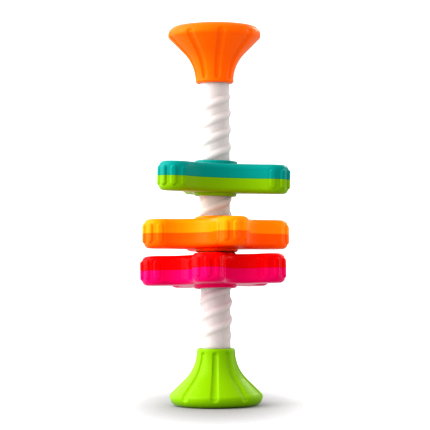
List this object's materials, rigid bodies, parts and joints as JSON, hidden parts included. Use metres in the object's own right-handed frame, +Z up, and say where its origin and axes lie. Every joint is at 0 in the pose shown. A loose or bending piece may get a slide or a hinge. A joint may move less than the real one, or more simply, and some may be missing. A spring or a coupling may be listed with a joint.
{
  "type": "corkscrew spinner toy",
  "caption": "Upright toy with a twisted white pole between flared orange and green end caps, on which loose two-coloured lobed spinners whirl up and down.",
  "frame": {"origin": "centre of the flat face the toy stands on, on the pole's axis", "axes": "+Z up along the pole, +X to the viewer's right and +Y away from the viewer in the pictured pose"},
  "size_m": [0.1108, 0.1107, 0.28],
  "materials": {
    "white_pole": "satin",
    "orange_cap": "gloss",
    "lime_base": "gloss",
    "teal_shell": "gloss",
    "lime_shell": "gloss",
    "amber_shell": "gloss",
    "orange_shell": "gloss",
    "red_shell": "gloss",
    "magenta_shell": "gloss",
    "steel": "plated",
    "white_acetal": "satin"
  },
  "bodies": {
    "pole_and_caps": {"corkscrew_pole": "white_pole", "bottom_cap_shell": "lime_base", "bottom_end_plate": "lime_base", "bottom_pole_plug": "white_acetal", "bottom_cap_screw": "steel", "top_cap_shell": "orange_cap", "top_end_plate": "orange_cap", "top_pole_plug": "white_acetal", "top_cap_screw": "steel"},
    "bottom_spinner_slider": {"bottom_spinner_guide_ring": "white_acetal"},
    "bottom_spinner": {"bottom_spinner_upper_shell": "red_shell", "bottom_spinner_lower_shell": "magenta_shell", "bottom_spinner_follower": "white_acetal"},
    "middle_spinner_slider": {"middle_spinner_guide_ring": "white_acetal"},
    "middle_spinner": {"middle_spinner_upper_shell": "amber_shell", "middle_spinner_lower_shell": "orange_shell", "middle_spinner_follower": "white_acetal"},
    "top_spinner_slider": {"top_spinner_guide_ring": "white_acetal"},
    "top_spinner": {"top_spinner_upper_shell": "teal_shell", "top_spinner_lower_shell": "lime_shell", "top_spinner_follower": "white_acetal"}
  },
  "joints": [
    {"name": "bottom_spinner_travel", "type": "slide", "parent": "pole_and_caps", "child": "bottom_spinner_slider", "axis": [0, 0, 1], "range_m": [-0.0425, 0.02]},
    {"name": "bottom_spinner_turn", "type": "hinge", "parent": "bottom_spinner_slider", "child": "bottom_spinner", "pos_m": [0, 0, 0.09925], "axis": [0, 0, 1], "range_deg": [-598.16, 281.75]},
    {"name": "middle_spinner_travel", "type": "slide", "parent": "bottom_spinner", "child": "middle_spinner_slider", "axis": [0, 0, 1], "range_m": [0, 0.018]},
    {"name": "middle_spinner_turn", "type": "hinge", "parent": "middle_spinner_slider", "child": "middle_spinner", "pos_m": [0, 0, 0.12605], "axis": [0, 0, 1], "range_deg": [0, 253.62]},
    {"name": "top_spinner_travel", "type": "slide", "parent": "middle_spinner", "child": "top_spinner_slider", "axis": [0, 0, 1], "range_m": [-0.0135, 0.0185]},
    {"name": "top_spinner_turn", "type": "hinge", "parent": "top_spinner_slider", "child": "top_spinner", "pos_m": [0, 0, 0.16735], "axis": [0, 0, 1], "range_deg": [-190.34, 260.66]}
  ],
  "couplings": [
    {"joint": "bottom_spinner_turn", "follows": "bottom_spinner_travel", "rad_per_m": 245.44},
    {"joint": "middle_spinner_turn", "follows": "middle_spinner_travel", "rad_per_m": 245.44},
    {"joint": "top_spinner_turn", "follows": "top_spinner_travel", "rad_per_m": 245.44}
  ]
}
